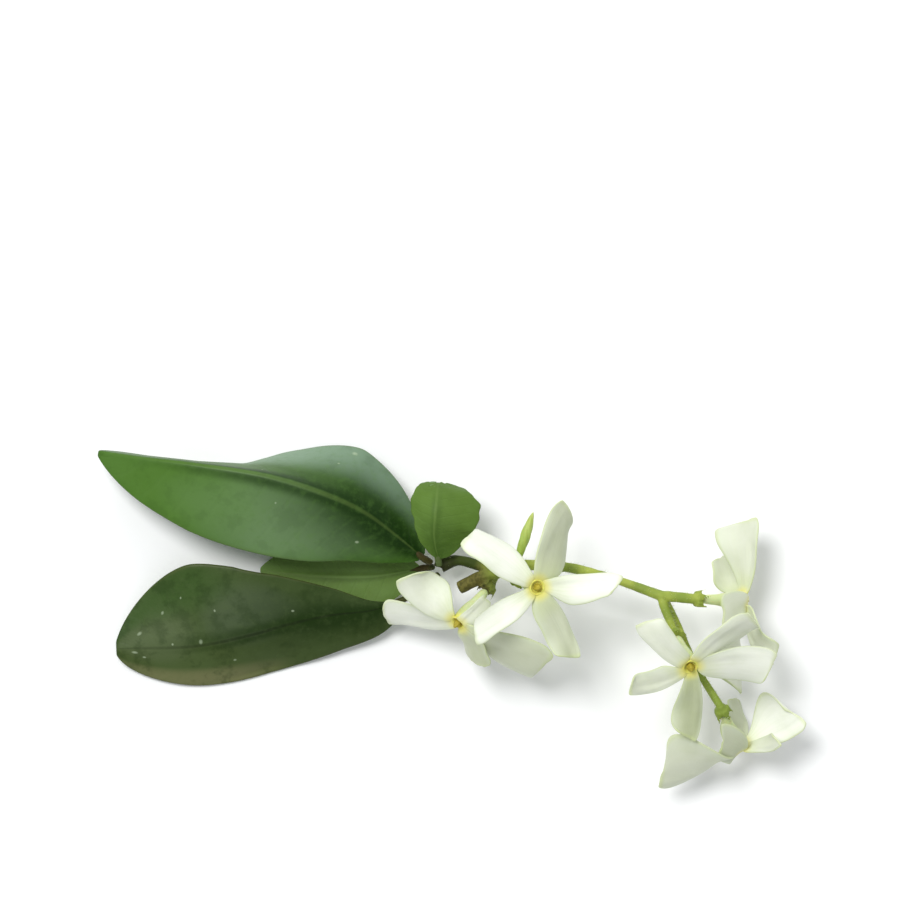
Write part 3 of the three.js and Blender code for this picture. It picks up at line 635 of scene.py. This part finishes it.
def petalFinish(name, flower):
    finish = Finish(name, {"Subsurface Weight": 0.18, "Subsurface Scale": 0.0016,
                           "Subsurface Radius": (1.0, 1.0, 0.85), "Specular IOR Level": 0.35,
                           "Sheen Weight": 0.12, "Sheen Roughness": 0.5})
    look = petalLook
    along, across = finish.alongAcross()
    edge = across.size()
    cloud = finish.speckle(190.0)
    fine = finish.speckle(1500.0, 3.0, 0.6)
    color = finish.blend(cloud.ramp(0.4, 0.72) * 0.35, look["white"], look["cool"])
    # painted shade: each petal is tinted green-grey by as much as it lies in shade
    paintedShade = finish.add("ShaderNodeAttribute", {"attribute_name": "paintedShade"}, out="Fac")
    color = finish.blend(paintedShade * (0.75 + cloud * 0.4), color, look["green"])
    # long fine veins that fan out from the root
    fan = finish.add("ShaderNodeCombineXYZ", None, {0: along * 2.2, 1: across * 13.0})
    lines = finish.add("ShaderNodeTexNoise", {"noise_dimensions": "2D"},
                       {"Vector": fan, "Scale": 1.0, "Detail": 2.0, "Roughness": 0.5})
    vein = lines.ramp(0.5, 0.62)
    nearRoot = 1.0 - along.ramp(0.02, 0.42)
    color = finish.blend(nearRoot * 0.5, color, look["root"])
    color = finish.blend(vein * (0.05 + nearRoot * 0.22), color, look["streak"])
    # painted shade: the petal darkens towards its edges, which curl back away from the light
    color = finish.blend(edge.ramp(0.5, 1.0) * 0.45, color, look["rim"])
    color = finish.blend(edge.ramp(0.86, 1.0) * 0.5, color, look["margin"])
    color = finish.blend(along.ramp(0.93, 1.0) * 0.6, color, look["margin"])
    away = finish.away(flower["throat"])
    color = finish.blend((1.0 - (away + cloud * 0.5).ramp(1.2, 3.1)) * 0.95, color, look["throat"])
    height = fine * 0.35 + lines * 0.5 + cloud * 0.9
    return finish.finished(color, 0.5 + fine * 0.14, finish.bump(height, 0.3, 0.00022))


def tubeFinish(name, flower):
    finish = Finish(name, {"Subsurface Weight": 0.12, "Subsurface Scale": 0.0012,
                           "Specular IOR Level": 0.35})
    look = petalLook
    cloud = finish.speckle(500.0)
    color = finish.blend(cloud.ramp(0.35, 0.7) * 0.5, look["tube"], look["cool"])
    color = finish.blend(1.0 - finish.away(tubeBase(flower)).ramp(0.6, 5.0), color, look["root"])
    color = finish.blend(1.0 - finish.away(flower["throat"]).ramp(1.4, 2.4), color, look["throat"])
    return finish.finished(color, 0.52, finish.bump(cloud, 0.35, 0.0002))


def petalSurface(petal, matrix):
    make = flowerMake
    reach, drop, pitch, bend = petal["reach"], petal["drop"], petal["pitch"], petal["bend"]
    wide, peak, taper, grow = petal["wide"], petal["peak"], petal["taper"], petal["grow"]
    seed = Vector((petal["turn"] * 0.13, reach * 0.7, drop))

    def surface(t, s):
        # one side swells to a round shoulder, and the other runs nearly straight to a blunt tip
        narrowing = 1 - taper * max(0, (t - peak) / (1.001 - peak)) ** 2
        shoulder = mix(make["rootShoulder"], make["shoulder"] * wide, eased(t / peak) ** grow * narrowing)
        straight = mix(make["rootStraight"], make["straight"] * wide, eased(t / make["open"]))
        blunt = 1 - make["blunt"] * max(0, (t - make["bluntFrom"]) / (1 - make["bluntFrom"])) ** 2.5
        q = s * (shoulder if s < 0 else straight) * blunt
        place = t * (1 - make["tipSlant"] * (1 - s) * t - make["tipRound"] * s * s * t)
        twist = pitch * eased(make["twistPace"] * t)
        ripple = make["ripple"] * t * s * math.sin(9 * t + 1.5 * s + bend)
        crinkle = make["crinkle"] * t * s * s * noise.noise(seed + Vector((t * 3.4, s * 2.2, 0)))
        fold = make["fold"] * t * noise.noise(seed * 1.7 + Vector((t * 1.6, s * 2.6, 0)))
        beside = (s - make["channelPlace"]) / make["channelWidth"]
        channel = -make["channel"] * math.exp(-beside ** 2) * math.sin(math.pi * clamped(t * 0.9))
        curl = -make["curl"] * q * q + ripple + crinkle + fold + channel
        # the root dips into the mouth of the tube
        dip = make["dip"] * math.exp(-(t / make["dipUntil"]) ** 2)
        x = mix(make["mouth"], reach, place)
        y = bend * t * t + q * math.cos(twist) - curl * math.sin(twist)
        z = -make["seat"] - dip + drop * t * t + q * math.sin(twist) + curl * math.cos(twist)
        put = matrix @ Vector((x, y, z))
        put.z = max(put.z, make["floor"])
        return put

    return surface


def makeCorolla(name, flower):
    bm = bmesh.new()
    for petal in flower["petals"]:
        turn = Matrix.Rotation(math.radians(petal["turn"]), 4, "Z")
        surface = petalSurface(petal, standing(flower["throat"], flower["axis"]) @ turn)
        blade(bm, surface, flowerMake["steps"], flowerMake["across"], paintedShade=petal["paintedShade"])
    tubePlace = standing(tubeBase(flower), flower["axis"])
    turned(bm, flowerMake["tubeProfile"], flowerMake["spins"], tubePlace, slot=1)
    turned(bm, flowerMake["throatFloor"], flowerMake["spins"], tubePlace, slot=1)
    materials = [petalFinish("petals" + name.title(), flower), tubeFinish("tube" + name.title(), flower)]
    finishedPiece("flower" + name.title(), bm, materials, ["flower_" + name], "petal",
                  sheet(flowerMake["thickness"]))


def antherFinish():
    finish = Finish("antherSkin", {"Specular IOR Level": 0.3})
    grain = finish.speckle(2200.0)
    color = finish.blend(grain.ramp(0.35, 0.7), antherMake["brown"], antherMake["gold"])
    return finish.finished(color, 0.65, finish.bump(grain, 0.5, 0.0002))


def makeAnthers(name, flower):
    # the five anthers lean together in a cone in the throat, with a groove between each two
    bm = bmesh.new()
    turned(bm, antherMake["cone"], flowerMake["spins"], Matrix.Identity(4))
    for vert in bm.verts:
        around = math.atan2(vert.co.y, vert.co.x)
        ridge = 1 - antherMake["groove"] * (0.5 - 0.5 * math.cos(5 * around)) ** 0.7
        vert.co.x *= ridge
        vert.co.y *= ridge
    axis = Vector(flower["axis"]).normalized()
    foot = Vector(flower["throat"]) - axis * (antherMake["sunk"] - flowerMake["gap"])
    bmesh.ops.transform(bm, verts=bm.verts[:], matrix=standing(foot, axis))
    finishedPiece("anthers" + name.title(), bm, [antherSkin], ["anthers_" + name], "anther", rounded)


antherSkin = antherFinish()
for name, flower in flowers.items():
    makeCorolla(name, flower)
    makeAnthers(name, flower)
print("flowers made")


# mm; the places where the twig, the shoot and the flower stalks meet, the tones of its bark, and the
# painted shade on its shoot and leaf node
stemMake = {
    "fork": (6.8, 6.8, 9), "upperFork": (32.8, 3.2, 10.8), "leafNode": (-1.6, 7.9, 6),
    "shoot": (2, 8.8, 6.4), "cut": (1.2, 4.4, 7.6), "pedicel": 0.6, "sides": 16, "bumps": 0.1,
    "voxel": 0.13, "easing": 0.5, "easings": 3,
    "green": tone(0.2, 0.27, 0.04), "paleGreen": tone(0.33, 0.39, 0.065),
    "bark": tone(0.075, 0.068, 0.014), "paleBark": tone(0.14, 0.125, 0.03),
    "paintedShootShade": tone(0.024, 0.045, 0.002), "paintedNodeShade": tone(0.02, 0.026, 0.006),
    "heart": tone(0.5, 0.48, 0.26),
}
# mm; a green cup with five pointed sepals under each corolla
calyxMake = {
    "height": 1.1, "radius": 1.15, "neck": 0.6, "overlap": 0.3, "spins": 20,
    "sepals": 5, "sepalLength": 1.7, "sepalWidth": 1.15, "sepalThickness": 0.42, "sepalSeat": 0.6,
    "sepalGap": 0.05, "sepalLean": 0.25, "sepalCurl": 0.15, "sepalCup": 0.12,
    "sepalSteps": 8, "sepalAcross": 4,
}
# mm; each hair takes its share of the length, its lean and its place along the stalk from a range
hairMake = {
    "length": 0.42, "lengths": (0.6, 1.2), "leans": (-0.1, 0.6), "along": (0.04, 0.98), "seat": 0.92,
    "thickness": 0.028, "tip": 0.15, "pale": tone(0.7, 0.75, 0.5), "dull": tone(0.42, 0.48, 0.2),
}
budMake = {
    "base": (10.3, 8.8, 11), "axis": (0.31, 0.95, 0.12), "length": 8.0, "spins": 40,
    # radius in mm and height as a share of the length
    "profile": [(0.0, 0.0), (0.45, 0.0), (0.55, 0.08), (0.66, 0.2), (0.78, 0.35), (0.85, 0.5),
                (0.78, 0.64), (0.62, 0.76), (0.42, 0.87), (0.22, 0.95), (0.0, 1.0)],
    "twist": 0.55, "groove": 0.13, "smoothUntil": 3.0,
    "foot": tone(0.3, 0.42, 0.06), "tip": tone(0.45, 0.54, 0.14), "cloud": tone(0.25, 0.36, 0.05),
}


def sepalSurface(t, s):
    make = calyxMake
    width = make["sepalWidth"] / 2 * max(1 - t ** 2.2, 0.02) ** 0.6
    flare = make["sepalLean"] * t + make["sepalCurl"] * t * t - make["sepalCup"] * s * s
    out = make["radius"] + make["sepalGap"] + flare
    return Vector((out, width * s, make["sepalLength"] * t - make["sepalSeat"]))


def makeCalyx(bm, base, axis):
    make = calyxMake
    axis = Vector(axis).normalized()
    place = standing(Vector(base) - axis * flowerMake["gap"], axis)
    height, wide, foot = make["height"], make["radius"], stemMake["pedicel"]
    turned(bm, [(0.0, -height - make["neck"]), (foot, -height - make["neck"]), (foot * 1.25, -height - 0.2),
                (wide * 0.85, -height + 0.1), (wide, -0.45), (wide * 0.92, -0.02), (0.0, 0.0)],
           make["spins"], place)
    for i in range(make["sepals"]):
        made = blade(bm, sepalSurface, make["sepalSteps"], make["sepalAcross"])
        faces = list({face for vert in made for face in vert.link_faces})
        solid = bmesh.ops.solidify(bm, geom=faces, thickness=make["sepalThickness"])["geom"]
        verts = set(made) | {item for item in solid if isinstance(item, bmesh.types.BMVert)}
        turn = Matrix.Rotation(2 * math.pi * i / make["sepals"], 4, "Z")
        bmesh.ops.transform(bm, verts=list(verts), matrix=place @ turn)


def calyxFoot(base, axis):  # where a flower stalk ends, inside the foot of its calyx
    axis = Vector(axis).normalized()
    return Vector(base) - axis * (flowerMake["gap"] + calyxMake["height"] + calyxMake["overlap"])


def flowerFoot(name):
    return calyxFoot(tubeBase(flowers[name]), flowers[name]["axis"])


def stemFinish():
    finish = Finish("stemSkin", {"Specular IOR Level": 0.2})
    look = stemMake
    cloud = finish.speckle(260.0, 4.0)
    fibre = finish.speckle(1400.0, 3.0, 0.6)
    color = finish.blend(cloud.ramp(0.36, 0.66), look["green"], look["paleGreen"])
    # the cut end has turned to brown bark; painted shade darkens the shoot and its leaf node, where they
    # lie in shade under the leaves and petals
    twigEnd = 1.0 - (finish.away(look["cut"]) + cloud * 2.4).ramp(4.6, 8.4)
    bark = finish.blend(fibre.ramp(0.35, 0.65), look["bark"], look["paleBark"])
    color = finish.blend(twigEnd, color, bark)
    shoot = 1.0 - (finish.away(look["shoot"]) + cloud * 0.8).ramp(2.2, 4.4)
    color = finish.blend(shoot * 0.9, color, look["paintedShootShade"])
    node = 1.0 - (finish.away(look["leafNode"]) + cloud * 1.2).ramp(1.8, 4.2)
    color = finish.blend(node * 0.92, color, look["paintedNodeShade"])
    heart = 1.0 - finish.away(look["cut"]).ramp(0.75, 1.0)
    color = finish.blend(heart * 0.8, color, look["heart"])
    height = fibre * (0.4 + twigEnd * 1.2) + cloud * 1.3
    return finish.finished(color, 0.48 + fibre * 0.16 + twigEnd * 0.15, finish.bump(height, 0.4, 0.0003))


def hairFinish():
    finish = Finish("hairSkin", {"Subsurface Weight": 0.1, "Subsurface Scale": 0.0005})
    color = finish.blend(finish.speckle(300.0, 1.0), hairMake["dull"], hairMake["pale"])
    return finish.finished(color, 0.55)


def makeHairs(runs):
    bm = bmesh.new()
    dice = random.Random(5)
    for points, radii, _, perMm in runs:
        path = SmoothPath(points)
        for _ in range(round(path.lengths[-1] * perMm)):
            t = dice.uniform(*hairMake["along"])
            ahead = path.ahead(t)
            out = Matrix.Rotation(dice.uniform(0, 2 * math.pi), 3, ahead) @ ahead.orthogonal().normalized()
            lean = (out + ahead * dice.uniform(*hairMake["leans"])).normalized()
            length = hairMake["length"] * dice.uniform(*hairMake["lengths"])
            middle = path.at(t) + out * (alongList(radii, t) * hairMake["seat"]) + lean * (length / 2)
            bmesh.ops.create_cone(bm, segments=3, radius1=hairMake["thickness"],
                                  radius2=hairMake["thickness"] * hairMake["tip"],
                                  depth=length, matrix=standing(middle, lean))
    finishedPiece("hairs", bm, [hairFinish()], ["stem"], "stalk")


def makeStem():
    bm = bmesh.new()
    fork, upperFork, leafNode = stemMake["fork"], stemMake["upperFork"], stemMake["leafNode"]
    pedicel = stemMake["pedicel"]
    # points, radii, rings and hairs per mm
    runs = [
        ([stemMake["cut"], (4, 5.8, 8.2), fork], [1.0, 1.05, 1.1], 16, 0),
        ([fork, (4, 8, 7), (0.8, 8.7, 6.2), leafNode], [0.9, 0.8, 0.8, 1.15], 24, 3),
        ([leafNode, (-1.5, 9.2, 6.4), (-1.4, 10.6, 6.8)], [1.15, 0.8, 0.5], 10, 3),
        ([fork, (11, 7.9, 9), (17.7, 7.7, 9.4), (25.4, 5.8, 10), upperFork],
         [1.05, 0.85, 0.8, 0.65, 0.85], 48, 14),
        ([fork, (8.4, 7, 9), flowerFoot("centre")], [0.9, pedicel], 14, 14),
        ([fork, (6.6, 6, 8.6), flowerFoot("lower")], [0.9, pedicel], 10, 14),
        ([upperFork, (33.2, 1.6, 11.2), flowerFoot("right")], [0.8, pedicel], 14, 18),
        ([upperFork, (35.6, 3, 12), flowerFoot("top")], [0.85, 0.8], 14, 14),
        ([upperFork, (35, -1, 9.6), (38, -7.6, 10), flowerFoot("bottom")], [0.8, pedicel, 0.6], 36, 18),
        ([(8.4, 7.1, 8.7), (9, 7.2, 8.9), calyxFoot(budMake["base"], budMake["axis"])], [0.7, 0.5], 10, 10),
    ]
    for points, radii, rings, _ in runs:
        stalk(bm, points, radii, rings, stemMake["sides"], stemMake["bumps"])
    makeHairs(runs)
    for flower in flowers.values():
        makeCalyx(bm, tubeBase(flower), flower["axis"])
    makeCalyx(bm, budMake["base"], budMake["axis"])
    # one skin is drawn over the joined stalks, and eased where they fork
    finishedPiece("leafyStem", bm, [stemFinish()], ["stem"], "stalk",
                  [("REMESH", {"mode": "VOXEL", "voxel_size": stemMake["voxel"] * mm,
                               "use_smooth_shade": True}),
                   ("SMOOTH", {"factor": stemMake["easing"], "iterations": stemMake["easings"]})])


def budFinish():
    finish = Finish("budSkin", {"Subsurface Weight": 0.1, "Subsurface Scale": 0.0012,
                                "Specular IOR Level": 0.35})
    cloud = finish.speckle(420.0)
    color = finish.blend(finish.away(budMake["base"]).ramp(0.8, 7.6), budMake["foot"], budMake["tip"])
    color = finish.blend(cloud.ramp(0.4, 0.7) * 0.4, color, budMake["cloud"])
    return finish.finished(color, 0.5, finish.bump(cloud, 0.4, 0.0002))


def makeBud():
    bm = bmesh.new()
    profile = [(radius, share * budMake["length"]) for radius, share in budMake["profile"]]
    turned(bm, profile, budMake["spins"], Matrix.Identity(4))
    long = [edge for edge in bm.edges if abs(edge.verts[0].co.z - edge.verts[1].co.z) > 0.3]
    bmesh.ops.subdivide_edges(bm, edges=long, cuts=2, smooth=0.0)
    # the petals of the bud are wound round each other, so its grooves run round it
    for vert in bm.verts:
        around = math.atan2(vert.co.y, vert.co.x) + budMake["twist"] * vert.co.z
        depth = budMake["groove"] * clamped(vert.co.z / budMake["smoothUntil"])
        ridge = 1 - depth * (0.5 - 0.5 * math.cos(5 * around)) ** 2
        vert.co.x *= ridge
        vert.co.y *= ridge
    bmesh.ops.transform(bm, verts=bm.verts[:], matrix=standing(budMake["base"], budMake["axis"]))
    finishedPiece("flowerBud", bm, [budFinish()], ["bud"], "bud", rounded)


makeStem()
makeBud()
print("stem and bud made")


# the camera looks down on view, a place on the drawing, and takes in across, both in mm; lamps are in m
studio = {
    "view": (-0.226, 25.97, 10.0), "across": 140.4, "lens": 420.0, "sensor": 36.0, "farthest": 20.0,
    "floor": tone(0.93, 0.93, 0.93), "floorSize": 3.0, "floorDrop": 0.0002,
    "sky": tone(0.95, 0.98, 1.0), "skyStrength": 0.56,
    "lamps": {
        "window": {"place": (-0.5, 0.6, 1.7), "target": (0, 0, 0), "size": 0.75, "power": 24.0},
        "skylight": {"place": (0.0, 1.6, 0.7), "target": (0, 0, 0.01), "size": 1.0, "power": 6.0},
    },
}


def makeFloor():
    bm = bmesh.new()
    bmesh.ops.create_grid(bm, x_segments=1, y_segments=1, size=studio["floorSize"])
    bmesh.ops.translate(bm, verts=bm.verts[:], vec=(0, 0, -studio["floorDrop"]))
    mesh = bpy.data.meshes.new("floor")
    bm.to_mesh(mesh)
    bm.free()
    floor = bpy.data.objects.new("floor", mesh)
    bpy.context.scene.collection.objects.link(floor)
    finish = Finish("paper", {"Specular IOR Level": 0.2})
    mesh.materials.append(finish.finished(studio["floor"], 0.8))


def makeLights():
    for name, wanted in studio["lamps"].items():
        lamp = bpy.data.lights.new(name, "AREA")
        lamp.shape = "DISK"
        lamp.size = wanted["size"]
        lamp.energy = wanted["power"]
        light = bpy.data.objects.new(name, lamp)
        bpy.context.scene.collection.objects.link(light)
        light.location = wanted["place"]
        towards = Vector(wanted["target"]) - Vector(wanted["place"])
        light.rotation_euler = towards.to_track_quat("-Z", "Y").to_euler()
    world = bpy.data.worlds.new("studio")
    world.use_nodes = True
    backdrop = world.node_tree.nodes["Background"]
    backdrop.inputs["Color"].default_value = studio["sky"]
    backdrop.inputs["Strength"].default_value = studio["skyStrength"]
    bpy.context.scene.world = world
    bpy.context.scene.view_settings.view_transform = "Standard"


def makeCamera():
    # it looks straight down, so it needs no turn
    lens = bpy.data.cameras.new("view")
    lens.lens = studio["lens"]
    lens.sensor_width = studio["sensor"]
    lens.clip_end = studio["farthest"]
    camera = bpy.data.objects.new("view", lens)
    bpy.context.scene.collection.objects.link(camera)
    distance = studio["across"] * mm * studio["lens"] / studio["sensor"]
    camera.location = spot(*studio["view"]) + Vector((0, 0, distance))
    bpy.context.scene.camera = camera


makeFloor()
makeLights()
makeCamera()
print("studio made")
